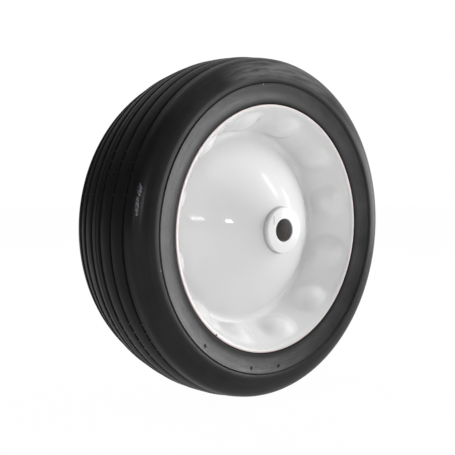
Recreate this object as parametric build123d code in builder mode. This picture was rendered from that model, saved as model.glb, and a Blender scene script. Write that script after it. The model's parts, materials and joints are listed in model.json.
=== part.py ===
import os

from build123d import *

# Driving dimensions in millimetres and degrees
# The wheel is drawn lying flat, its front face up (+Z), and is stood on its tread at the end

# Tyre
tyre_diameter = 260.35
tyre_width = 82.55
tread_width = 65.2
crown_drop = 4.8
shoulder_depth = 13.8
bead_band_rise = 4.0
bead_band_bulge = 0.5
sidewall_line_radius = 107.2
sidewall_line_size = 0.8
air_chamber_radius = 106.0
air_chamber_height = 23.0
air_chamber_width = 46.0

# Tread pattern
groove_count = 6
groove_pitch = 11.5
groove_width = 2.8
groove_depth = 3.0
tie_bar_groups = 7
tie_bars_per_group = 5
tie_bar_pitch = 3.25
tie_bar_thickness = 1.4
tie_bar_first_group = 161.3

# Pressed discs
sheet = 2.0
rim_radius = 92.0
rim_height = 37.2
lip_reach = 3.5
lip_rise = 2.2
dome_bulge = 2.7
wall_set_in = 16.0
trough_width = 5.0
trough_bend = 3.0

# Lobes embossed in the wall of a disc
lobe_count = 12
lobe_first_angle = 13.0
lobe_height = 7.0
lobe_end_gap = 3.9
lobe_foot_round = 2.0

# Hub
hub_length = 88.9
hub_diameter = 34.2
hub_stand_out = 4.3
hub_edge_round = 0.8
bore_diameter = 17.0
bore_chamfer = 0.6

# Clearances
weld_gap = 0.1
tyre_seat_gap = 0.2

# Places worked out from the dimensions
tyre_radius = tyre_diameter / 2
half_width = tyre_width / 2
half_tread = tread_width / 2
hub_hole_radius = hub_diameter / 2 + weld_gap
dome_height = hub_length / 2 - hub_stand_out

# The wall of a disc runs straight from the trough to the start of the lip, and keeps its place
# under the rim
trough_outer_radius = rim_radius - wall_set_in
trough_inner_radius = trough_outer_radius - trough_width
wall_foot = Vector(trough_outer_radius, sheet)
wall_top = Vector(rim_radius - lip_reach, rim_height - lip_rise)
wall_run = (wall_top - wall_foot).normalized()
wall_back = Vector(wall_run.Y, -wall_run.X)
wall_middle = (wall_foot + wall_top) * 0.5
lip_edge = Vector(rim_radius, rim_height)

# A lobe is the cap of a ball whose middle lies behind the wall, and ends short of the wall's ends
lobe_reach = (wall_top - wall_foot).length / 2 - lobe_end_gap
lobe_radius = (lobe_reach**2 + lobe_height**2) / (2 * lobe_height)
lobe_middle = wall_middle + wall_back * (lobe_radius - lobe_height)
lobe_place = (lobe_middle.X, 0, lobe_middle.Y)

# Section of a disc: one line for the front of the sheet, given its thickness towards the tyre
with BuildSketch(Plane.XZ) as sheet_section:
    with BuildLine():
        with BuildLine() as front_line:
            SagittaArc((hub_hole_radius, dome_height), (trough_inner_radius, sheet), dome_bulge)
            Polyline((trough_inner_radius, sheet), wall_foot, wall_top)
            lip = TangentArc(wall_top, lip_edge, tangent=wall_run)
            lip_end = lip % 1
            Line(lip_edge, lip_edge + lip_end * sheet)
            bends = front_line.vertices().filter_by_position(Axis.Y, sheet, sheet)
            fillet(bends, trough_bend)
        offset(amount=sheet, side=Side.RIGHT)
    make_face()
    Rectangle(2 * rim_radius, hub_length, mode=Mode.INTERSECT)
    Rectangle(2 * hub_hole_radius, hub_length, mode=Mode.SUBTRACT)

# Space behind the wall, which trims the roots of the lobes flush with the back of the sheet
with BuildSketch(Plane.XZ) as behind_wall:
    with BuildLine():
        Polyline(
            wall_foot,
            wall_top,
            lip_edge,
            (tyre_radius, rim_height),
            (tyre_radius, -2 * lobe_radius),
            (trough_outer_radius, -2 * lobe_radius),
            close=True,
        )
    make_face()
    add(sheet_section.sketch, mode=Mode.SUBTRACT)

# Front disc: the sheet is turned, the lobes are raised with a soft foot, then hollowed from behind
with BuildPart() as front_disc:
    revolve(sheet_section.sketch, axis=Axis.Z)
    with PolarLocations(0, lobe_count, start_angle=lobe_first_angle):
        with Locations(lobe_place):
            Sphere(lobe_radius)
    outlines = front_disc.edges().filter_by(GeomType.BSPLINE).sort_by(SortBy.LENGTH)
    fillet(outlines[:lobe_count], lobe_foot_round)
    with PolarLocations(0, lobe_count, start_angle=lobe_first_angle):
        with Locations(lobe_place):
            Sphere(lobe_radius - sheet, mode=Mode.SUBTRACT)
    revolve(behind_wall.sketch, axis=Axis.Z, mode=Mode.SUBTRACT)

# Rear disc: the same pressing turned over, back to back with the front one, lobe behind lobe
with BuildPart() as rear_disc:
    add(front_disc.part, rotation=(180, 0, -2 * lobe_first_angle))

# Hub: a thick tube welded into both discs
with BuildPart() as hub_tube:
    with BuildSketch():
        Circle(hub_diameter / 2)
        Circle(bore_diameter / 2, mode=Mode.SUBTRACT)
    extrude(amount=hub_length / 2, both=True)
    rings = hub_tube.edges().filter_by(GeomType.CIRCLE).sort_by(SortBy.RADIUS)
    chamfer(rings[:2], bore_chamfer)
    fillet(rings[-2:], hub_edge_round)

# Tread: a crowned band, cut by rings that break off at each tie bar
crown_radius = (half_tread**2 + crown_drop**2) / (2 * crown_drop)
tread_edge_radius = tyre_radius - crown_drop


def crown_at(height):
    """Radius of the tread at this height above the middle of the wheel."""
    return tyre_radius - crown_radius + (crown_radius**2 - height**2) ** 0.5


groove_heights = [groove_pitch * (i - (groove_count - 1) / 2) for i in range(groove_count)]
tie_bar_reach = tie_bar_pitch * (tie_bars_per_group - 1)

with BuildPart() as groove_cutter:
    with BuildSketch(Plane.XZ):
        for height in groove_heights:
            with Locations((crown_at(height) - groove_depth, height)):
                Rectangle(
                    groove_depth + crown_drop,
                    groove_width,
                    align=(Align.MIN, Align.CENTER),
                )
    revolve(axis=Axis.Z)
    with BuildSketch():
        for group in range(tie_bar_groups):
            first = tie_bar_first_group - tie_bar_reach / 2 + group * 360 / tie_bar_groups
            with PolarLocations(0, tie_bars_per_group, first, tie_bar_reach, endpoint=True):
                Rectangle(tyre_diameter, tie_bar_thickness, align=(Align.MIN, Align.CENTER))
    extrude(amount=half_width, both=True, mode=Mode.SUBTRACT)

# Seat of the tyre: it follows the back of the wall and ends at the edge of the lip
seat_top = wall_top + wall_back * (sheet + tyre_seat_gap)
seat_foot = Vector(seat_top.X - seat_top.Y * wall_run.X / wall_run.Y, 0)
bead_radius = rim_radius + tyre_seat_gap
lip_underside = Vector(bead_radius, rim_height - sheet / lip_end.X - tyre_seat_gap)
bead_edge = Vector(bead_radius, half_width - bead_band_rise)
sidewall_line = Vector(sidewall_line_radius, half_width)
shoulder_foot = Vector(tread_edge_radius - shoulder_depth, half_width)

# Tyre: half of its section is drawn and mirrored, then turned about the axle
with BuildPart() as tyre:
    with BuildSketch(Plane.XZ):
        with BuildLine():
            Polyline(seat_foot, seat_top, lip_underside, bead_edge)
            SagittaArc(bead_edge, sidewall_line, bead_band_bulge)
            Line(sidewall_line, shoulder_foot)
            EllipticalCenterArc(
                (shoulder_foot.X, half_tread),
                shoulder_depth,
                half_width - half_tread,
                start_angle=0,
                arc_size=90,
            )
            ThreePointArc(
                (tread_edge_radius, half_tread),
                (crown_at(half_tread / 2), half_tread / 2),
                (tyre_radius, 0),
            )
            Line((tyre_radius, 0), seat_foot)
        make_face()
        with Locations(sidewall_line):
            Circle(sidewall_line_size, mode=Mode.SUBTRACT)
        mirror(about=Plane.XZ)
        with Locations((air_chamber_radius, 0)):
            Ellipse(air_chamber_height / 2, air_chamber_width / 2, mode=Mode.SUBTRACT)
    revolve(axis=Axis.Z)
    add(groove_cutter.part, mode=Mode.SUBTRACT)

# The finished pieces are stood up, so that the axle runs along Y and the front looks along -Y
tyre.part.label = "tyre"
front_disc.part.label = "front_disc"
rear_disc.part.label = "rear_disc"
hub_tube.part.label = "hub_tube"

os.makedirs("parts", exist_ok=True)
for piece in (tyre, front_disc, rear_disc, hub_tube):
    standing = piece.part.moved(Plane.XZ.location)
    export_step(standing, f"parts/{piece.part.label}.step")
    print(piece.part.label, round(piece.part.volume), "cubic mm")
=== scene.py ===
# %% [markdown]
# # A pressed steel wheel with a ribbed rubber tyre
# The wheel comes off a garden machine. Two steel discs are pressed to the same shape,
# set back to back, welded to a thick hub tube and painted white. A black rubber tyre
# sits in the V that the two discs form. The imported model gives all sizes, so this lesson
# starts by loading it as a fixed frame, and then dresses each of its four nodes.

import json
import math

import bmesh
import bpy
from mathutils import Matrix, Vector


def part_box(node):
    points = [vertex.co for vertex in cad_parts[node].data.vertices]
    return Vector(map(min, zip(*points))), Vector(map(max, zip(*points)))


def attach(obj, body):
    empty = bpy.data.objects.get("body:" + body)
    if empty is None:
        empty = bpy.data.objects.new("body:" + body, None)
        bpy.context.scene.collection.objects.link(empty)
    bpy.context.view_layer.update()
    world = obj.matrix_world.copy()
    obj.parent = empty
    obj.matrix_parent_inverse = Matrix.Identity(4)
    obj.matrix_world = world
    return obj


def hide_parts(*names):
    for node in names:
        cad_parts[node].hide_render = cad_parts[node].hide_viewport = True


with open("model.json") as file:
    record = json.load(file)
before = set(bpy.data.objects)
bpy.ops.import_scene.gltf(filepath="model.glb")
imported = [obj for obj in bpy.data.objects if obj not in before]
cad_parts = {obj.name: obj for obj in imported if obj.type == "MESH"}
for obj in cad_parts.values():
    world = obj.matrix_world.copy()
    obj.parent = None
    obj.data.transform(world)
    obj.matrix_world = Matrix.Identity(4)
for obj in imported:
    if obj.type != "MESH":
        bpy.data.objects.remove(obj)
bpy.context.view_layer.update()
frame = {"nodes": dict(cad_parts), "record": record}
print("nodes in the frame:", sorted(frame["nodes"]))

# %% [markdown]
# ## Sizes
# The main radii and widths are read from the boxes of the nodes. What a box can't tell,
# such as the height of the rim, is a named value in millimetres. The axle runs along Y,
# the front of the wheel looks along -Y, and Z is up. The line of the disc is worked out
# here already, because the tyre is moulded to sit against the back of it.

# %% Sizes from the frame
mm = 0.001
axle = Vector((0, 1, 0))

tyre_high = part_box("tyre")[1]
disc_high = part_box("front_disc")[1]
hub_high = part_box("hub_tube")[1]

tyre_radius = tyre_high[2]
tyre_half_width = tyre_high[1]
rim_radius = disc_high[2]
hub_radius = hub_high[2]
hub_half_length = hub_high[1]
bore_radius = frame["record"]["mounts"][0]["dims"]["r_mm"] * mm
print("tyre radius", round(tyre_radius / mm, 2), "rim radius", round(rim_radius / mm, 2), "mm")

# %% Line of a disc
sheet = 2.0 * mm
rim_height = 37.2 * mm
lip_reach = 3.5 * mm
lip_rise = 2.2 * mm
trough_inner = 71 * mm
trough_outer = 76 * mm
trough_round = 4.4 * mm
dome_bulge = 2.7 * mm
hub_stand_out = 4.3 * mm
weld_gap = 0.1 * mm
seat_gap = 0.2 * mm

hub_hole_radius = hub_radius + weld_gap
dome_top = hub_half_length - hub_stand_out
wall_foot = Vector((trough_outer, sheet))
wall_top = Vector((rim_radius - lip_reach, rim_height - lip_rise))
lip_edge = Vector((rim_radius, rim_height))
wall_run = (wall_top - wall_foot).normalized()
wall_front = Vector((-wall_run.y, wall_run.x))
wall_middle = (wall_foot + wall_top) / 2
seat_top = wall_top - wall_front * (sheet + seat_gap)
seat_foot = seat_top - wall_run * (seat_top.y / wall_run.y)
print("tyre seat from radius", round(seat_foot.x / mm, 1), "to", round(seat_top.x / mm, 1), "mm")


# %% [markdown]
# ## Turned sections
# All four pieces are round about the axle, so each starts as a section: a chain of
# vertices with the radius along X and the axle along Y. A Screw modifier could turn such
# a chain too, but the spin operator leaves a plain mesh that can be worked on further.
# Corners are rounded with a vertex bevel while the section is still a chain, which is
# much quicker than rounding long turned edges.

# %% Helpers for sections
def chain(bm, points, closed=False):
    """Vertices joined by edges through points given as radius and place along the axle."""
    verts = [bm.verts.new((radius, along, 0)) for radius, along in points]
    for start, end in zip(verts, verts[1:]):
        bm.edges.new((start, end))
    if closed:
        bm.edges.new((verts[-1], verts[0]))
    return verts


def round_corners(bm, corners, size, segments):
    """Vertex bevel on corners of a section."""
    bmesh.ops.bevel(
        bm,
        geom=corners,
        offset=size,
        offset_type="OFFSET",
        segments=segments,
        profile=0.5,
        affect="VERTICES",
        material=-1,
    )


def spin_full(bm, steps):
    """Turn the section once round the axle and close it."""
    bmesh.ops.spin(
        bm,
        geom=bm.verts[:] + bm.edges[:],
        cent=(0, 0, 0),
        axis=-axle,
        angle=math.tau,
        steps=steps,
        use_merge=True,
        use_duplicate=False,
    )


# %% Helpers for arcs and radii
def arc(start, end, bulge, steps):
    """Points of a shallow arc between two points, bulging to the left of the way."""
    start, end = Vector(start), Vector(end)
    run = end - start
    left = Vector((-run.y, run.x)).normalized()
    half = run.length / 2
    radius = (half**2 + bulge**2) / (2 * bulge)
    points = []
    for i in range(steps + 1):
        across = (2 * i / steps - 1) * half
        lift = math.copysign(math.sqrt(radius**2 - across**2), bulge) - (radius - bulge)
        points.append(start + run * (i / steps) + left * lift)
    return points


def radius_of(point):
    """Distance of a point from the axle."""
    return math.hypot(point.x, point.z)


# %% [markdown]
# ## Finished pieces
# A mesh becomes a piece of the wheel in one place, so that all four are treated alike.
# Faces are shaded smooth, and edges that turn by more than a given angle stay sharp. The
# piece rides on the wheel's only body, stands for a node of the imported model, which it
# hides, and takes the materials it is given.

# %% Helper that finishes a piece
def finish_piece(bm, name, node, materials, sharp_angle):
    """Make an object of the mesh, let it ride on the wheel and stand for a node."""
    bmesh.ops.recalc_face_normals(bm, faces=bm.faces[:])
    for face in bm.faces:
        face.smooth = True
    for edge in bm.edges:
        edge.smooth = edge.calc_face_angle(0) < math.radians(sharp_angle)
    mesh = bpy.data.meshes.new(name)
    bm.to_mesh(mesh)
    bm.free()
    for material in materials:
        mesh.materials.append(material)
    piece = bpy.data.objects.new(name, mesh)
    bpy.context.scene.collection.objects.link(piece)
    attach(piece, "root")
    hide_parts(node)
    mesh.calc_loop_triangles()
    print(name, len(mesh.loop_triangles), "triangles")


# %% [markdown]
# ## Effects shared by the finishes
# On a wheel most things happen by radius: dust lies in a band, paint wears at the lip,
# tools leave rings. The first group hands out the radius, the place along the axle and a
# vector that draws noise out into rings. The second is fine dust in loose patches, and
# the third is a single scratch or spot with a ragged edge. All of this could be painted
# on an image, but a node group works on the object's own coordinates, stays sharp at any
# distance and is placed in each material with its own values.

# %% Node helpers
def feed(tree, value, target):
    """Link a socket to an input, or set the input to a plain value."""
    if isinstance(value, bpy.types.NodeSocket):
        tree.links.new(value, target)
    else:
        target.default_value = value


def calculate(tree, operation, *values, clamp=False):
    """Math node whose inputs are sockets or numbers."""
    node = tree.nodes.new("ShaderNodeMath")
    node.operation = operation
    node.use_clamp = clamp
    for value, target in zip(values, node.inputs):
        feed(tree, value, target)
    return node.outputs["Value"]


def times(tree, product, *factors):
    """Product of several sockets or numbers."""
    for factor in factors:
        product = calculate(tree, "MULTIPLY", product, factor)
    return product


def scaled(tree, value, gain, base, clamp=False):
    """Value times a gain, plus a base."""
    return calculate(tree, "MULTIPLY_ADD", value, gain, base, clamp=clamp)


def combine(tree, operation, first, second):
    """Vector math node fed by two vectors."""
    node = tree.nodes.new("ShaderNodeVectorMath")
    node.operation = operation
    feed(tree, first, node.inputs[0])
    feed(tree, second, node.inputs[1])
    return node


# %% Pattern helpers
def ramp_between(tree, value, low, high):
    """Smooth step from 0 at low to 1 at high."""
    node = tree.nodes.new("ShaderNodeMapRange")
    node.interpolation_type = "SMOOTHSTEP"
    tree.links.new(value, node.inputs["Value"])
    node.inputs["From Min"].default_value = low
    node.inputs["From Max"].default_value = high
    return node.outputs["Result"]


def ring_between(tree, radius, inner, outer):
    """Soft ring that rises over the inner pair of radii and falls over the outer pair."""
    rise = ramp_between(tree, radius, inner[0], inner[1])
    fall = ramp_between(tree, radius, outer[1], outer[0])
    return times(tree, rise, fall)


def noise(tree, place, scale, detail, roughness=0.5):
    """Noise texture on coordinates, from 0 to 1."""
    node = tree.nodes.new("ShaderNodeTexNoise")
    tree.links.new(place, node.inputs["Vector"])
    feed(tree, scale, node.inputs["Scale"])
    node.inputs["Detail"].default_value = detail
    node.inputs["Roughness"].default_value = roughness
    return node.outputs["Fac"]


# %% Group helper
def new_group(name, inputs, outputs):
    """Empty shader node group with named sockets."""
    group = bpy.data.node_groups.new(name, "ShaderNodeTree")
    for label, kind in inputs:
        group.interface.new_socket(label, in_out="INPUT", socket_type=kind)
    for label, kind in outputs:
        group.interface.new_socket(label, in_out="OUTPUT", socket_type=kind)
    return group, group.nodes.new("NodeGroupInput"), group.nodes.new("NodeGroupOutput")


# %% Group: place on the wheel
ring_turn = 0.012


def make_wheel_place():
    """Radius, place along the axle, share of up, and a vector that runs in rings."""
    tree, entry, leave = new_group(
        "wheel_place",
        [("Vector", "NodeSocketVector")],
        [
            ("Radius", "NodeSocketFloat"),
            ("Along", "NodeSocketFloat"),
            ("Upward", "NodeSocketFloat"),
            ("Rings", "NodeSocketVector"),
        ],
    )
    parts = tree.nodes.new("ShaderNodeSeparateXYZ")
    tree.links.new(entry.outputs["Vector"], parts.inputs[0])
    across, along, up = parts.outputs
    square = calculate(tree, "MULTIPLY_ADD", across, across, times(tree, up, up))
    radius = calculate(tree, "SQRT", square)
    turn = calculate(tree, "DIVIDE", across, radius)
    rings = tree.nodes.new("ShaderNodeCombineXYZ")
    for value, target in zip((radius, along, times(tree, turn, ring_turn)), rings.inputs):
        tree.links.new(value, target)
    tree.links.new(radius, leave.inputs["Radius"])
    tree.links.new(along, leave.inputs["Along"])
    tree.links.new(calculate(tree, "DIVIDE", up, radius), leave.inputs["Upward"])
    tree.links.new(rings.outputs["Vector"], leave.inputs["Rings"])
    return tree


wheel_place = make_wheel_place()
print("sockets of wheel_place:", [socket.name for socket in wheel_place.interface.items_tree])


# %% Group: dust
patch_contrast = 3.0


def make_dust():
    """Mask of fine dust in loose patches."""
    tree, entry, leave = new_group(
        "dust",
        [
            ("Vector", "NodeSocketVector"),
            ("Patch Scale", "NodeSocketFloat"),
            ("Cover", "NodeSocketFloat"),
        ],
        [("Mask", "NodeSocketFloat")],
    )
    place = entry.outputs["Vector"]
    patches = noise(tree, place, entry.outputs["Patch Scale"], 4.0, 0.6)
    grit = noise(tree, place, 1800.0, 2.0)
    level = calculate(tree, "SUBTRACT", 1.0, entry.outputs["Cover"])
    above = calculate(tree, "SUBTRACT", patches, level)
    patch = scaled(tree, above, patch_contrast, 0.5, clamp=True)
    fine = scaled(tree, grit, 0.8, 0.1)
    tree.links.new(calculate(tree, "MULTIPLY", patch, fine, clamp=True), leave.inputs["Mask"])
    return tree


dust = make_dust()
print("dust has", len(dust.nodes), "nodes")


# %% Group: mark
mark_sharpness = 3.0


def make_mark():
    """Mask of one ragged scratch from a start along a run; without a run it is a spot."""
    tree, entry, leave = new_group(
        "mark",
        [
            ("Vector", "NodeSocketVector"),
            ("Start", "NodeSocketVector"),
            ("Run", "NodeSocketVector"),
            ("Size", "NodeSocketFloat"),
        ],
        [("Mask", "NodeSocketFloat")],
    )
    place, start, run, size = (entry.outputs[label] for label in ("Vector", "Start", "Run", "Size"))
    away = combine(tree, "SUBTRACT", place, start).outputs["Vector"]
    along = combine(tree, "DOT_PRODUCT", away, run).outputs["Value"]
    whole = combine(tree, "DOT_PRODUCT", run, run).outputs["Value"]
    foot = tree.nodes.new("ShaderNodeVectorMath")
    foot.operation = "SCALE"
    tree.links.new(run, foot.inputs[0])
    tree.links.new(calculate(tree, "DIVIDE", along, whole, clamp=True), foot.inputs["Scale"])
    gap = combine(tree, "DISTANCE", away, foot.outputs["Vector"]).outputs["Value"]
    ragged = scaled(tree, noise(tree, place, 700.0, 2.0), 1.4, 0.3)
    near = calculate(tree, "DIVIDE", gap, times(tree, size, ragged))
    mask = scaled(tree, near, -mark_sharpness, mark_sharpness + 0.5, clamp=True)
    tree.links.new(mask, leave.inputs["Mask"])
    return tree


mark = make_mark()
print("mark has", len(mark.nodes), "nodes")


# %% Material helpers
def new_material(name):
    """New material with its node tree, its shader and Object coordinates."""
    material = bpy.data.materials.new(name)
    material.use_nodes = True
    tree = material.node_tree
    shader = tree.nodes["Principled BSDF"]
    place = tree.nodes.new("ShaderNodeTexCoord").outputs["Object"]
    return material, tree, shader, place


def use_group(tree, group, place, **values):
    """Group node fed with coordinates."""
    node = tree.nodes.new("ShaderNodeGroup")
    node.node_tree = group
    tree.links.new(place, node.inputs["Vector"])
    for key, value in values.items():
        node.inputs[key.replace("_", " ")].default_value = value
    return node


def marks_on(tree, place, marks):
    """Mask of several marks, each a start, a run and a width in millimetres."""
    total = 0.0
    for start, run, size in marks:
        node = use_group(
            tree, mark, place, Start=Vector(start) * mm, Run=Vector(run) * mm, Size=size * mm
        )
        total = calculate(tree, "MAXIMUM", node.outputs["Mask"], total)
    return total


# %% Colour and bump helpers
def mix_colour(tree, mask, first, second):
    """Colour between two colours or sockets."""
    node = tree.nodes.new("ShaderNodeMix")
    node.data_type = "RGBA"
    tree.links.new(mask, node.inputs["Factor"])
    colour_inputs = [socket for socket in node.inputs if socket.type == "RGBA"]
    for value, target in zip((first, second), colour_inputs):
        feed(tree, value, target)
    return [socket for socket in node.outputs if socket.type == "RGBA"][0]


def layer_colours(tree, colour, layers):
    """Lay tints over a colour, each through its own mask."""
    for mask, tint in layers:
        colour = mix_colour(tree, mask, colour, tint)
    return colour


def bump_from(tree, height, strength, distance, under=None):
    """Bump node, laid over another one if given."""
    node = tree.nodes.new("ShaderNodeBump")
    node.inputs["Strength"].default_value = strength
    node.inputs["Distance"].default_value = distance
    tree.links.new(height, node.inputs["Height"])
    if under is not None:
        tree.links.new(under, node.inputs["Normal"])
    return node.outputs["Normal"]


# %% [markdown]
# ## White paint
# The discs and the outside of the hub are sprayed with gloss white enamel. One smooth
# shader would look like plastic, so a clear coat mirrors the lamps over a duller white,
# and two bumps disturb it: a fine orange peel, and wide shallow waves from the press. A
# grey ring of painted shade darkens the foot of the hub where each dome meets it. The lip
# is greyer, its very edge has worn to a thin reddish line, and a little dust lies in the
# trough. There is one dark chip on the rim and one scratch on the end of the hub.

# %% Colours and wear of the paint
enamel_white = (0.83, 0.83, 0.83, 1)
paint_dust = (0.48, 0.47, 0.45, 1)
hub_foot_shade_grey = (0.34, 0.35, 0.37, 1)
lip_grey = (0.50, 0.48, 0.47, 1)
edge_red = (0.58, 0.40, 0.38, 1)
scratch_grey = (0.32, 0.31, 0.30, 1)
chip_brown = (0.05, 0.045, 0.04, 1)

rim_chips = [((-58.9, -37.0, -69.8), (0, 0, 0), 0.9)]
hub_scratches = [((-11.2, -44.5, 10.6), (0.3, 0, -5.8), 0.3)]


def paint_colour(tree, where, place, dusty):
    """White with dust in the trough, painted shade round the foot of the hub and wear at the rim."""
    radius = where.outputs["Radius"]
    depth = calculate(tree, "ABSOLUTE", where.outputs["Along"])
    trough = ring_between(
        tree,
        radius,
        (trough_inner - 7 * mm, trough_inner + 2 * mm),
        (trough_outer, trough_outer + 6 * mm),
    )
    # Painted shade: a grey ring darkens the side of the hub and the dome round it, near where the two
    # meet.
    hub_foot_shade = ring_between(
        tree,
        radius,
        (hub_radius - 0.6 * mm, hub_radius - 0.1 * mm),
        (hub_radius + 0.1 * mm, hub_radius + 1.1 * mm),
    )
    hub_foot_depth = ramp_between(tree, depth, hub_half_length - 0.25 * mm, dome_top + 0.45 * mm)
    lip = ramp_between(tree, radius, rim_radius - 3.8 * mm, rim_radius - 2.0 * mm)
    edge = ramp_between(tree, radius, rim_radius - 1.4 * mm, rim_radius - 0.4 * mm)
    layers = [
        (times(tree, scaled(tree, trough, 0.04, 0.05), dusty), paint_dust),
        (times(tree, hub_foot_shade, hub_foot_depth, 0.6), hub_foot_shade_grey),
        (times(tree, lip, 0.4), lip_grey),
        (times(tree, edge, 0.5), edge_red),
        (marks_on(tree, place, hub_scratches), scratch_grey),
        (marks_on(tree, place, rim_chips), chip_brown),
    ]
    return layer_colours(tree, enamel_white, layers)


# %% White paint
def make_white_paint():
    """Gloss enamel: a clear coat over a duller white, with orange peel and waves."""
    material, tree, shader, place = new_material("white_paint")
    where = use_group(tree, wheel_place, place)
    dusty = use_group(tree, dust, place, Patch_Scale=45.0, Cover=0.45).outputs["Mask"]
    tree.links.new(paint_colour(tree, where, place, dusty), shader.inputs["Base Color"])
    tree.links.new(scaled(tree, dusty, 0.10, 0.32), shader.inputs["Roughness"])
    waves = bump_from(tree, noise(tree, place, 38.0, 2.0), 0.25, 1.0 * mm)
    peel = bump_from(tree, noise(tree, place, 420.0, 1.0), 0.08, 0.2 * mm, waves)
    tree.links.new(peel, shader.inputs["Normal"])
    shader.inputs["Specular IOR Level"].default_value = 0.15
    shader.inputs["Coat Weight"].default_value = 0.9
    shader.inputs["Coat Roughness"].default_value = 0.05
    print("white_paint has", len(tree.nodes), "nodes")
    return material


white_paint = make_white_paint()


# %% [markdown]
# ## Bore steel
# Inside the hub the paint stops, and the bare steel is dull grey with fine rings from
# the tool that opened the bore. A fully metallic shader would mirror the white room and
# look new, so only a little metal is mixed in, and the rings carry the look.

# %% Bore steel
steel_dark = (0.20, 0.19, 0.185, 1)
steel_light = (0.46, 0.44, 0.43, 1)


def make_bore_steel():
    """Dull bare steel with rings left by a tool."""
    material, tree, shader, place = new_material("bore_steel")
    where = use_group(tree, wheel_place, place)
    rings = noise(tree, where.outputs["Rings"], 900.0, 3.0)
    tree.links.new(mix_colour(tree, rings, steel_dark, steel_light), shader.inputs["Base Color"])
    tree.links.new(scaled(tree, rings, 0.25, 0.4), shader.inputs["Roughness"])
    tree.links.new(bump_from(tree, rings, 0.2, 0.1 * mm), shader.inputs["Normal"])
    shader.inputs["Metallic"].default_value = 0.2
    print("bore_steel has", len(tree.nodes), "nodes")
    return material


bore_steel = make_bore_steel()


# %% [markdown]
# ## Rubber
# The tyre is moulded black rubber. Its sidewalls carry faint rings from the mould, and the
# band inside the sidewall line is lightened by dust and also by painted sheen. Next to the
# rim the bead is kept dark as painted shade of the gap between tyre and rim. The shoulder
# is streaked lighter grey towards the top of the wheel. A few scuffs and three pits break
# the surface. The sidewalls have a dull polish, the tread has none. A lower roughness would
# brighten the whole tyre, so the polish is a rough clear coat whose weight changes over the
# surface.

# %% Marks on the rubber
def on_wheel(radius, along, degrees):
    """Point in millimetres at a radius, a place along the axle and an angle from +X to +Z."""
    turn = math.radians(degrees)
    return Vector((radius * math.cos(turn), along, radius * math.sin(turn)))


def scuff(start, end, size):
    """Mark between two points given as for on_wheel."""
    return on_wheel(*start), on_wheel(*end) - on_wheel(*start), size


pits = [(on_wheel(102.7, -40.4, degrees), (0, 0, 0), 1.5) for degrees in (226.6, 253.8, 269.5)]
scuffs = [
    scuff((99, -40, 122), (103, -41, 125), 0.5),
    scuff((98, -40, 127), (103, -41, 130), 0.5),
    scuff((99, -40, 132), (104, -41, 134.5), 0.5),
    scuff((122.9, -36.4, 163.8), (121.9, -38.4, 165.4), 0.7),
    scuff((123.0, -36.4, 164.8), (122.0, -38.4, 166.4), 0.7),
    scuff((122.9, -36.8, 166.0), (122.1, -38.2, 167.4), 0.7),
    scuff((122.7, -37.4, 168.2), (122.5, -37.9, 170.4), 0.9),
    scuff((122.5, -37.8, 169.6), (122.5, -38.0, 171.8), 1.0),
    scuff((122.4, -38.2, 171.0), (122.3, -38.4, 173.0), 0.7),
    scuff((104, -41.2, 100), (107, -41.2, 100.4), 0.5),
    scuff((107.9, -41.2, 190.2), (107.9, -41.2, 191.0), 0.5),
]
print(len(scuffs), "scuffs and", len(pits), "pits")

# %% Colour of the rubber
rubber_black = (0.003, 0.003, 0.0035, 1)
rubber_grey = (0.015, 0.015, 0.0165, 1)
dust_and_sheen_grey = (0.20, 0.20, 0.21, 1)
top_shoulder_grey = (0.20, 0.20, 0.205, 1)
scuff_grey = (0.24, 0.25, 0.28, 1)
pit_black = (0.004, 0.004, 0.004, 1)

sidewall_line_radius = 107.2 * mm
shoulder_inner = (108 * mm, 114 * mm)
shoulder_outer = (121 * mm, 125 * mm)


def rubber_colour(tree, where, place, patterns, masks):
    """Black, lightened on the band by dust and painted sheen, streaked lighter at the top of the
    shoulder, with scuffs and pits.
    """
    rings, mottle, specks = patterns
    band, bead, pitted = masks
    dusty = use_group(tree, dust, place, Patch_Scale=26.0, Cover=0.5).outputs["Mask"]
    # Dust and painted sheen: the band is lightened by real dust, and also to stand in for part of its
    # gloss.
    dust_and_sheen = times(tree, scaled(tree, band, 0.16, 0.02), dusty, bead)
    shoulder = ring_between(tree, where.outputs["Radius"], shoulder_inner, shoulder_outer)
    top = ramp_between(tree, where.outputs["Upward"], 0.86, 0.99)
    streaks = scaled(tree, ramp_between(tree, rings, 0.30, 0.65), 0.7, 0.3)
    broken = ramp_between(tree, specks, 0.3, 0.8)
    layers = [
        (dust_and_sheen, dust_and_sheen_grey),
        (times(tree, shoulder, top, streaks, 0.55), top_shoulder_grey),
        (times(tree, marks_on(tree, place, scuffs), broken), scuff_grey),
        (pitted, pit_black),
    ]
    black = mix_colour(tree, times(tree, rings, mottle), rubber_black, rubber_grey)
    return layer_colours(tree, black, layers)


# %% Polish of the rubber
def rubber_polish(tree, where, patterns, masks):
    """Weight of the clear coat: on the sidewalls only, uneven, and gone from bead and pits."""
    rings, mottle, specks = patterns
    band, bead, pitted = masks
    depth = calculate(tree, "ABSOLUTE", where.outputs["Along"])
    side = ramp_between(tree, depth, 30 * mm, 36 * mm)
    return times(
        tree,
        side,
        scaled(tree, band, 0.7, 0.3),
        bead,
        scaled(tree, pitted, -1.0, 1.0),
        scaled(tree, mottle, 0.6, 0.5),
        scaled(tree, rings, 1.0, 0.5),
        scaled(tree, ramp_between(tree, specks, 0.34, 0.50), 0.35, 0.70),
    )


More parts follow.
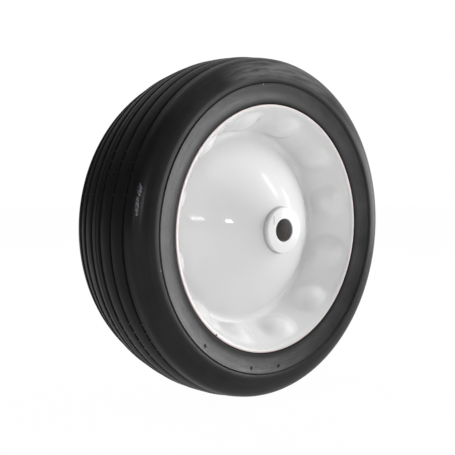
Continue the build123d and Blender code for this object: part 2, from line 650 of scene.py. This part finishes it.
# %% Rubber
def make_rubber():
    """Moulded rubber: black, dusty and scuffed, with a dull polish on the sidewalls."""
    material, tree, shader, place = new_material("rubber")
    where = use_group(tree, wheel_place, place)
    radius = where.outputs["Radius"]
    rings = noise(tree, where.outputs["Rings"], 520.0, 3.0, 0.6)
    mottle = noise(tree, place, 60.0, 5.0, 0.65)
    specks = noise(tree, place, 900.0, 2.0)
    patterns = (rings, mottle, specks)
    band = ramp_between(tree, radius, sidewall_line_radius + 1.8 * mm, sidewall_line_radius - 2.2 * mm)
    # Painted shade: this mask fades the lightening and the polish out towards the rim, so the bead
    # stays dark like the shaded gap between tyre and rim.
    bead = ramp_between(tree, radius, rim_radius, rim_radius + 6.5 * mm)
    masks = (band, bead, marks_on(tree, place, pits))

    colour = rubber_colour(tree, where, place, patterns, masks)
    tree.links.new(colour, shader.inputs["Base Color"])
    tree.links.new(scaled(tree, mottle, 0.22, 0.40), shader.inputs["Roughness"])
    tree.links.new(rubber_polish(tree, where, patterns, masks), shader.inputs["Coat Weight"])
    mould_rings = bump_from(tree, rings, 0.15, 0.3 * mm)
    grain = bump_from(tree, noise(tree, place, 1500.0, 2.0), 0.12, 0.2 * mm, mould_rings)
    tree.links.new(grain, shader.inputs["Normal"])
    shader.inputs["Specular IOR Level"].default_value = 0.12
    shader.inputs["Coat Roughness"].default_value = 0.26
    shader.inputs["Coat IOR"].default_value = 1.43
    print("rubber has", len(tree.nodes), "nodes")
    return material


rubber = make_rubber()


# %% [markdown]
# ## Tyre
# The section of the tyre is drawn from the middle of the tread to the rim on the front
# side and mirrored. Six grooves run round the tread, a thin parting line is left by the
# mould on the middle rib, and short bars bridge the grooves in groups of five. The bars
# could be loose blocks, or be left standing by a Boolean cut, but on the real tyre they
# belong to the same skin. So the section is spun in stretches, and where a bar begins,
# the floor of every groove is lifted almost to the ribs.

# %% Tread
groove_pitch = 11.5 * mm
groove_places = [groove_pitch * (i + 0.5) for i in range(3)]
groove_half_width = 1.4 * mm
groove_floor_half = 1.15 * mm
groove_depth = 3.0 * mm
rib_round = 0.35 * mm
half_tread = 32.6 * mm
crown_drop = 4.8 * mm
parting_rise = 0.25 * mm
crown_arc = (half_tread**2 + crown_drop**2) / (2 * crown_drop)
print("the crown is an arc of", round(crown_arc / mm, 1), "mm")


def crown_at(along):
    """Radius of the tread at a distance from the middle of the wheel."""
    return tyre_radius - parting_rise - crown_arc + math.sqrt(crown_arc**2 - along**2)


def tread_points():
    """Ribs and grooves from the middle outwards, and which points are corners of ribs."""
    points = [(tyre_radius, 0), (tyre_radius - parting_rise, -2 * parting_rise)]
    rib_corners = []
    rib_start = 0.0
    for place in groove_places:
        rib_middle = (rib_start + place - groove_half_width) / 2
        rib_start = place + groove_half_width
        points.append((crown_at(rib_middle), -rib_middle))
        rib_corners += [len(points), len(points) + 3]
        groove_top = crown_at(place)
        groove_floor = groove_top - groove_depth
        points.append((groove_top, groove_half_width - place))
        points.append((groove_floor, groove_floor_half - place))
        points.append((groove_floor, -groove_floor_half - place))
        points.append((groove_top, -groove_half_width - place))
    return points, rib_corners


# %% Sidewall
shoulder_depth = 13.8 * mm
shoulder_rise = tyre_half_width - half_tread
shoulder_steps = 14
line_size = 0.8 * mm
band_step = 0.1 * mm
band_bulge = 0.5 * mm
band_rise = 4.0 * mm
sidewall_line = Vector((sidewall_line_radius, -tyre_half_width))
bead_edge = Vector((rim_radius + seat_gap, band_rise - tyre_half_width))
print("the bead ends at radius", round(bead_edge.x / mm, 1), "mm")


def sidewall_points():
    """Shoulder, sidewall line and band, from the edge of the tread down to the bead."""
    shoulder_foot = tyre_radius - crown_drop - shoulder_depth
    points = []
    for step in range(shoulder_steps + 1):
        turn = math.radians(90) * step / shoulder_steps
        radius = shoulder_foot + shoulder_depth * math.cos(turn)
        points.append((radius, -half_tread - shoulder_rise * math.sin(turn)))
    points.append((sidewall_line.x + line_size, sidewall_line.y))
    points.append((sidewall_line.x, sidewall_line.y + line_size))
    band = arc(sidewall_line + Vector((-line_size, band_step)), bead_edge, -band_bulge, 6)
    return points + [tuple(point) for point in band]


# %% Tyre section
bead_round = 1.3 * mm
merge_distance = 0.01 * mm


def tyre_section(bm):
    """Front half of the section, mirrored to the back."""
    points, rib_corners = tread_points()
    points += sidewall_points()
    bead_corner = len(points) - 1
    points.append((bead_edge.x, sheet + seat_gap - rim_height))
    points.append((seat_top.x, -seat_top.y))
    points.append((seat_foot.x, 0))
    verts = chain(bm, points)
    round_corners(bm, [verts[bead_corner]], bead_round, 4)
    round_corners(bm, [verts[corner] for corner in rib_corners], rib_round, 2)
    bmesh.ops.mirror(bm, geom=bm.verts[:] + bm.edges[:], axis="Y", merge_dist=merge_distance)
    bmesh.ops.remove_doubles(bm, verts=bm.verts[:], dist=merge_distance)


# %% Helpers for the bars
tread_inside = 115 * mm
floor_slack = 0.02 * mm


def spin_on(bm, ring, degrees, steps):
    """Turn the last ring of the section on, and hand back the new last ring."""
    made = bmesh.ops.spin(
        bm,
        geom=ring,
        cent=(0, 0, 0),
        axis=-axle,
        angle=math.radians(degrees),
        steps=steps,
        use_duplicate=False,
    )
    return made["geom_last"]


def set_groove_floor(ring, depth):
    """Move the floor of every groove in a ring to a depth below the ribs."""
    for vert in ring:
        if not isinstance(vert, bmesh.types.BMVert) or radius_of(vert.co) < tread_inside:
            continue
        along = abs(vert.co.y)
        if min(abs(along - place) for place in groove_places) < groove_floor_half + floor_slack:
            scale = (crown_at(along) - depth) / radius_of(vert.co)
            vert.co.x *= scale
            vert.co.z *= scale


# %% Tyre turned in stretches
# Pitch, side, first group and turns are angles in degrees, counted from +X towards +Z
bar_groups = 7
bars_per_group = 5
bar_pitch = 3.25
bar_thickness = 1.4 * mm
bar_drop = 0.35 * mm
bar_side = 0.07
first_group = 161.3
bar_turn = math.degrees(bar_thickness / tyre_radius)
bars_turn = bar_pitch * (bars_per_group - 1)
plain_turn = 360 / bar_groups - bars_turn - bar_turn
plain_steps = 32


def build_tyre():
    """Spin the section bar by bar, group by group, and close the ring."""
    bm = bmesh.new()
    tyre_section(bm)
    start = math.radians(first_group - bars_turn / 2 - bar_turn / 2)
    to_start = Matrix.Rotation(start, 3, -axle)
    bmesh.ops.rotate(bm, verts=bm.verts[:], cent=(0, 0, 0), matrix=to_start)
    ring = bm.verts[:] + bm.edges[:]
    for group in range(bar_groups):
        for bar in range(bars_per_group):
            ring = spin_on(bm, ring, bar_side, 1)
            set_groove_floor(ring, bar_drop)
            ring = spin_on(bm, ring, bar_turn - 2 * bar_side, 1)
            ring = spin_on(bm, ring, bar_side, 1)
            set_groove_floor(ring, groove_depth)
            if bar < bars_per_group - 1:
                ring = spin_on(bm, ring, bar_pitch - bar_turn, 2)
        ring = spin_on(bm, ring, plain_turn, plain_steps)
    bmesh.ops.remove_doubles(bm, verts=bm.verts[:], dist=2 * merge_distance)
    finish_piece(bm, "ribbed_tyre", "tyre", [rubber], 50)


build_tyre()


# %% [markdown]
# ## Pressed discs
# A disc starts as one line: the dome from the hub down to the trough, the wall up to the
# rim and a short lip. The line is turned into a sheet, twelve lobes are pushed out of the
# wall, and solidify gives the sheet its thickness, so that the back follows every lobe as
# it does in a press. Lobes joined on by a Boolean would meet the wall in a hard line.
# Here each is the cap of a ball that lifts the points of the sheet, with a soft foot, and
# it fades out towards both ends of the wall.

# %% Front line of a disc
line_steps = 26
lip_steps = 6


def disc_line(bm):
    """Front of the sheet, from the hub to the edge of the lip."""
    dome = arc((hub_hole_radius, dome_top), (trough_inner, sheet), dome_bulge, line_steps)
    wall = [wall_foot.lerp(wall_top, i / line_steps) for i in range(line_steps + 1)]
    chord = lip_edge - wall_top
    bend = chord.angle(wall_run)
    lip = arc(wall_top, lip_edge, chord.length / 2 * math.tan(bend / 2), lip_steps)
    verts = chain(bm, [tuple(point) for point in dome + wall + lip[1:]])
    dome_turn = (dome[-1] - dome[-2]).angle(Vector((1, 0)))
    wall_turn = wall_run.angle(Vector((1, 0)))
    round_corners(bm, [verts[line_steps]], trough_round * math.tan(dome_turn / 2), 4)
    round_corners(bm, [verts[line_steps + 1]], trough_round * math.tan(wall_turn / 2), 6)


# %% Lobes
lobe_count = 12
lobe_first = math.radians(13)
lobe_turn = math.tau / lobe_count
lobe_radius = 17 * mm
lobe_height = 5.2 * mm
lobe_foot = 4.2 * mm
lobe_trim = 0.05 * lobe_foot
lobe_fade = 7 * mm
wall_half = (wall_top - wall_foot).length / 2
lobe_middle = wall_middle - wall_front * (lobe_radius - lobe_height)
print(lobe_count, "lobes, their middles at radius", round(lobe_middle.x / mm, 1), "mm")


def lobe_rise(point, front):
    """How far the nearest lobe, the cap of a ball, stands out at a point of the wall."""
    angle = math.atan2(point.z, point.x)
    nearest = lobe_first + lobe_turn * round((angle - lobe_first) / lobe_turn)
    outward = Vector((math.cos(nearest), 0, math.sin(nearest)))
    away = point - outward * lobe_middle.x - axle * lobe_middle.y
    depth = away.dot(front)
    under_root = depth**2 - away.length_squared + lobe_radius**2
    if under_root <= 0 or radius_of(point) < trough_outer:
        return 0.0
    rise = math.sqrt(under_root) - depth
    soft = (rise + math.sqrt(rise**2 + lobe_foot**2)) / 2
    along = Vector((radius_of(point), point.y)) - wall_middle
    to_end = wall_half - abs(along.dot(wall_run))
    fade = min(max(to_end / lobe_fade, 0.0), 1.0)
    return max(soft - lobe_trim, 0.0) * fade**2 * (3 - 2 * fade)


# %% Discs
disc_steps = 480


def build_disc(name, node, facing):
    """Turn the line, push out the lobes, thicken the sheet and face it to one side."""
    bm = bmesh.new()
    disc_line(bm)
    spin_full(bm, disc_steps)
    for vert in bm.verts:
        outward = Vector((vert.co.x, 0, vert.co.z)).normalized()
        front = outward * wall_front.x + axle * wall_front.y
        vert.co += front * lobe_rise(vert.co, front)
    bmesh.ops.recalc_face_normals(bm, faces=bm.faces[:])
    bm.normal_update()
    # The way the faces look decides on which side of the line solidify adds the steel
    dome_face = min(bm.faces, key=lambda face: radius_of(face.calc_center_median()))
    if dome_face.normal.y < 0:
        bmesh.ops.reverse_faces(bm, faces=bm.faces[:])
    bmesh.ops.solidify(bm, geom=bm.faces[:], thickness=sheet)
    bmesh.ops.scale(bm, vec=(1, facing, 1), verts=bm.verts[:])
    finish_piece(bm, name, node, [white_paint], 50)


build_disc("front_pressed_disc", "front_disc", -1)
build_disc("rear_pressed_disc", "rear_disc", 1)


# %% [markdown]
# ## Hub tube
# A thick tube stands a little out of each dome. Its ends are faced flat, with a small
# round outside and a chamfer at the bore. Two cylinders and a Boolean would do for the
# tube, but four corners turned about the axle take their roundings on the way. The paint
# stops at the bore, so the faces in there get the second material.

# %% Hub tube
hub_steps = 160
hub_edge_round = 0.8 * mm
bore_chamfer = 0.6 * mm


def build_hub():
    """Turn four corners into a tube, painted outside and bare inside."""
    bm = bmesh.new()
    corners = chain(
        bm,
        [
            (bore_radius, -hub_half_length),
            (hub_radius, -hub_half_length),
            (hub_radius, hub_half_length),
            (bore_radius, hub_half_length),
        ],
        closed=True,
    )
    round_corners(bm, [corners[1], corners[2]], hub_edge_round, 4)
    round_corners(bm, [corners[0], corners[3]], bore_chamfer, 1)
    spin_full(bm, hub_steps)
    for face in bm.faces:
        inside = radius_of(face.calc_center_median()) < bore_radius + 0.1 * mm
        face.material_index = 1 if inside else 0
    finish_piece(bm, "hub_sleeve", "hub_tube", [white_paint, bore_steel], 35)


build_hub()


# %% [markdown]
# ## Floor
# The wheel stands on a pale floor that runs out into plain white. A floor that is only
# lit would turn grey towards its edges, and more light would bleach the wheel. So what
# the camera and the reflections see is nearly all a glow of strength 1, which is white,
# and the small rest is a matt surface that keeps the shadow of the wheel. All other rays
# meet the matt surface alone.

# %% Helpers for the stage
def seen_rays(tree):
    """Light Path node, and a mask of the rays that show a surface to the viewer."""
    light_path = tree.nodes.new("ShaderNodeLightPath")
    seen = 0.0
    for label in ("Is Camera Ray", "Is Glossy Ray", "Is Transmission Ray"):
        seen = calculate(tree, "ADD", light_path.outputs[label], seen, clamp=True)
    return light_path, seen


def mix_shaders(tree, mask, first, second, output):
    """Show the second shader where the mask is 1, and the first elsewhere."""
    mixed = tree.nodes.new("ShaderNodeMixShader")
    tree.links.new(mask, mixed.inputs["Fac"])
    tree.links.new(first.outputs[0], mixed.inputs[1])
    tree.links.new(second.outputs[0], mixed.inputs[2])
    tree.links.new(mixed.outputs[0], tree.nodes[output].inputs["Surface"])


# %% Floor
floor_half_size = 4.0
floor_pale = (0.95, 0.95, 0.95, 1)
floor_glow = 0.985


def make_floor_white():
    """Matt floor that the viewer sees as white with a shadow."""
    material = bpy.data.materials.new("floor_white")
    material.use_nodes = True
    tree = material.node_tree
    shader = tree.nodes["Principled BSDF"]
    shader.inputs["Base Color"].default_value = floor_pale
    shader.inputs["Roughness"].default_value = 0.9
    glow = tree.nodes.new("ShaderNodeEmission")
    glow.inputs["Strength"].default_value = 1.0
    seen = seen_rays(tree)[1]
    mix_shaders(tree, times(tree, seen, floor_glow), shader, glow, "Material Output")
    return material


def build_floor():
    """Square floor under the tread."""
    bm = bmesh.new()
    bmesh.ops.create_grid(bm, x_segments=1, y_segments=1, size=floor_half_size)
    bmesh.ops.translate(bm, verts=bm.verts[:], vec=(0, 0, -tyre_radius))
    mesh = bpy.data.meshes.new("floor")
    bm.to_mesh(mesh)
    bm.free()
    mesh.materials.append(make_floor_white())
    floor = bpy.data.objects.new("floor", mesh)
    bpy.context.scene.collection.objects.link(floor)
    print("floor at", round(-tyre_radius / mm, 2), "mm")


build_floor()


# %% [markdown]
# ## World
# Behind the wheel the camera sees plain white. Matt surfaces get only a weak light from
# all round, so that the lamps can give the wheel its form. Gloss shows what it mirrors,
# and an evenly white room would leave paint and rubber flat. So reflected rays see a
# room that is bright towards one side, as towards a window wall, and dim elsewhere. A
# picture of a studio could do the same, but one direction and a ramp are easier to tune.

# %% World
world_fill = 0.24
room_dim = 0.05
white = (1, 1, 1, 1)


def direction(azimuth, elevation):
    """Unit vector towards an azimuth, counted from -Y towards +X, and an elevation."""
    turn, tilt = math.radians(azimuth), math.radians(elevation)
    flat = math.cos(tilt)
    return Vector((math.sin(turn) * flat, -math.cos(turn) * flat, math.sin(tilt)))


bright_side = direction(100, 52)


def build_world():
    """Weak fill for matt surfaces, a room with a bright side for gloss, white for the camera."""
    world = bpy.data.worlds.new("white_room")
    bpy.context.scene.world = world
    world.use_nodes = True
    tree = world.node_tree
    soft = tree.nodes["Background"]
    soft.inputs["Color"].default_value = white
    soft.inputs["Strength"].default_value = world_fill

    toward = tree.nodes.new("ShaderNodeTexCoord").outputs["Generated"]
    facing = combine(tree, "DOT_PRODUCT", toward, bright_side).outputs["Value"]
    room = scaled(tree, ramp_between(tree, facing, 0.25, 0.65), 1 - room_dim, room_dim)
    light_path, seen = seen_rays(tree)
    room = calculate(tree, "MAXIMUM", room, light_path.outputs["Is Camera Ray"])
    mirrored = tree.nodes.new("ShaderNodeBackground")
    mirrored.inputs["Color"].default_value = white
    tree.links.new(room, mirrored.inputs["Strength"])
    mix_shaders(tree, seen, soft, mirrored, "World Output")
    print("world fill", world_fill, "bright side", [round(part, 2) for part in bright_side])


build_world()


# %% [markdown]
# ## Lamps
# Soft area lamps stand round the wheel, each placed by an azimuth and an elevation and
# turned to the hub. A lamp is given the brightness of its face, and its power follows
# from its area, so a larger face gives more light and no brighter reflection. Panes,
# cards and small lamps are seen in the gloss alone: they draw the glints on the dome,
# the rim and the rubber. The fills light the matt surface alone, one of them from
# behind. Kept apart like this, reflections and shading can be tuned one by one.

# %% Lamps
def add_softbox(name, angles, distance, size, brightness, gloss=True, diffuse=True):
    """Area lamp at an azimuth and an elevation, aimed at the hub."""
    lamp = bpy.data.lights.new(name, "AREA")
    lamp.shape = "RECTANGLE"
    lamp.size, lamp.size_y = size
    lamp.energy = brightness * math.pi * size[0] * size[1]
    stand = bpy.data.objects.new(name, lamp)
    stand.visible_camera = False
    stand.visible_glossy = gloss
    stand.visible_diffuse = diffuse
    stand.location = direction(*angles) * distance
    stand.rotation_euler = (-stand.location).to_track_quat("-Z", "Y").to_euler()
    bpy.context.scene.collection.objects.link(stand)
    print(name, round(lamp.energy, 2), "W")


add_softbox("near_pane", (58, 42), 1.0, (0.12, 0.22), 3.6, diffuse=False)
add_softbox("far_pane", (82, 24), 1.0, (0.12, 0.20), 3.0, diffuse=False)
add_softbox("right_card", (64, 2), 1.1, (0.84, 0.46), 4.8, diffuse=False)
add_softbox("back_card", (126, 12), 1.2, (0.60, 0.50), 3.4, diffuse=False)
add_softbox("front_lamp", (-27, 8), 1.0, (0.05, 0.05), 120.0, diffuse=False)
add_softbox("left_lamp", (-44, 9), 1.0, (0.12, 0.07), 8.0, diffuse=False)
add_softbox("side_lamp", (-62, 7), 1.0, (0.06, 0.05), 50.0, diffuse=False)
add_softbox("left_fill", (-38, 18), 1.0, (0.50, 0.50), 1.9, gloss=False)
add_softbox("key_fill", (38, 10), 1.0, (0.50, 0.50), 3.8, gloss=False)
add_softbox("window_fill", (58, 32), 1.0, (0.50, 0.50), 5.4, gloss=False)
add_softbox("back_fill", (200, 35), 1.2, (0.70, 0.70), 6.0, gloss=False)

# %% [markdown]
# ## Camera
# The camera stands close to the wheel, a little above the hub and well to its left, so
# the near edge of the tyre looks larger than the far one. A longer lens from further
# away would fill the picture too, but it would flatten that difference. The aim is moved
# a little off the hub instead of shifting the lens.

# %% Camera
image_size = 455
focal_pixels = 550.644
camera_distance = 440 * mm
aim_right = -13.537 * mm
aim_up = -0.383 * mm
view = direction(-40.064, 4.127)
right = Vector((0, 0, 1)).cross(view).normalized()
up = view.cross(right)

camera_data = bpy.data.cameras.new("camera")
camera_data.sensor_width = 36
camera_data.lens = focal_pixels * camera_data.sensor_width / image_size
camera = bpy.data.objects.new("camera", camera_data)
camera.location = right * aim_right + up * aim_up + view * camera_distance
camera.rotation_euler = view.to_track_quat("Z", "Y").to_euler()
bpy.context.scene.collection.objects.link(camera)
bpy.context.scene.camera = camera
bpy.context.scene.view_settings.view_transform = "Standard"
print("lens", round(camera_data.lens, 2), "mm")
